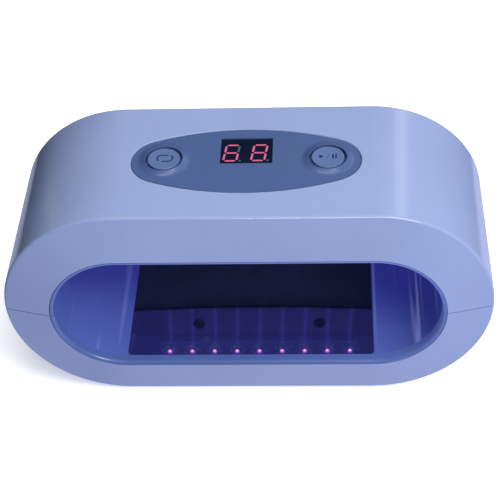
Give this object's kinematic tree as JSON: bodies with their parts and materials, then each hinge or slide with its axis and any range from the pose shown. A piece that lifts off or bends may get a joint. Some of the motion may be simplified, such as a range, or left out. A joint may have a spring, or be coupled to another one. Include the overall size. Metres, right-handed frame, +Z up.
{
  "type": "uv curing lamp",
  "caption": "Table-top UV curing lamp: a stadium-shaped housing with a mirrored tunnel under an LED row, an oval control panel, two push buttons and a digit display.",
  "frame": {"origin": "under the middle of the housing, on the surface that the rubber feet stand on", "axes": "+Z up, the tunnel opens towards -Y, +X to the right seen from the front"},
  "size_m": [0.24, 0.0904, 0.1204],
  "materials": {
    "shell": "glossy lavender-white moulded plastic",
    "rim": "glossy blue-grey moulded plastic",
    "liner": "glossy violet-blue inner wall",
    "mirror_plate": "dark mirror-polished sheet",
    "baffle": "matt black",
    "cover": "fine satin texture",
    "reflector": "bright rolled sheet",
    "dark_steel": "blackened steel",
    "steel": "plain steel",
    "cup": "bright plated reflector cup",
    "led": "glowing violet emitter",
    "white_board": "white solder mask on aluminium",
    "aluminium": "extruded aluminium",
    "panel": "satin blue-grey",
    "button": "satin blue-grey",
    "black_plastic": "black moulding",
    "display_black": "black display face",
    "segment_lit": "glowing pink-red segment",
    "segment_dark": "unlit grey segment",
    "green_board": "green circuit board",
    "capacitor": "sleeved can",
    "copper": "enamelled copper winding",
    "red_wire": "wire insulation",
    "grey_wire": "wire insulation",
    "ivory_plastic": "plug housing",
    "foot_rubber": "soft rubber"
  },
  "bodies": {
    "housing": {"upper_shell": "shell", "lower_shell": "shell", "upper_rim": "rim", "lower_rim": "rim", "tunnel_liner": "liner", "floor_plate": "mirror_plate", "rear_baffle": "baffle", "rear_cover": "cover", "led_reflector": "reflector", "reflector_flange": "reflector", "reflector_screws": "dark_steel", "led_cups": "cup", "leds": "led", "led_board": "white_board", "heat_sink": "aluminium", "control_panel": "panel", "cycle_switch": "steel", "start_switch": "steel", "display_case": "display_black", "display_lit_segments": "segment_lit", "display_dark_segments": "segment_dark", "control_board": "green_board", "control_chip": "black_plastic", "buzzer": "black_plastic", "driver_board": "green_board", "driver_capacitors": "capacitor", "driver_coil": "copper", "driver_chip": "black_plastic", "dc_jack": "black_plastic", "dc_jack_pin": "steel", "power_leads": "red_wire", "led_leads": "red_wire", "panel_leads": "grey_wire", "lead_plugs": "ivory_plastic", "case_screws": "dark_steel", "cover_screws": "steel", "board_screws": "steel", "feet": "foot_rubber"},
    "cycle_key": {"cycle_button": "button", "cycle_plunger": "black_plastic"},
    "start_key": {"start_button": "button", "start_plunger": "black_plastic"}
  },
  "joints": [
    {"name": "cycle_press", "type": "slide", "parent": "housing", "child": "cycle_key", "axis": [0, 0, -1], "range_m": [0, 0.0008], "stiffness_N_per_m": 1500},
    {"name": "start_press", "type": "slide", "parent": "housing", "child": "start_key", "axis": [0, 0, -1], "range_m": [0, 0.0008], "stiffness_N_per_m": 1500}
  ]
}
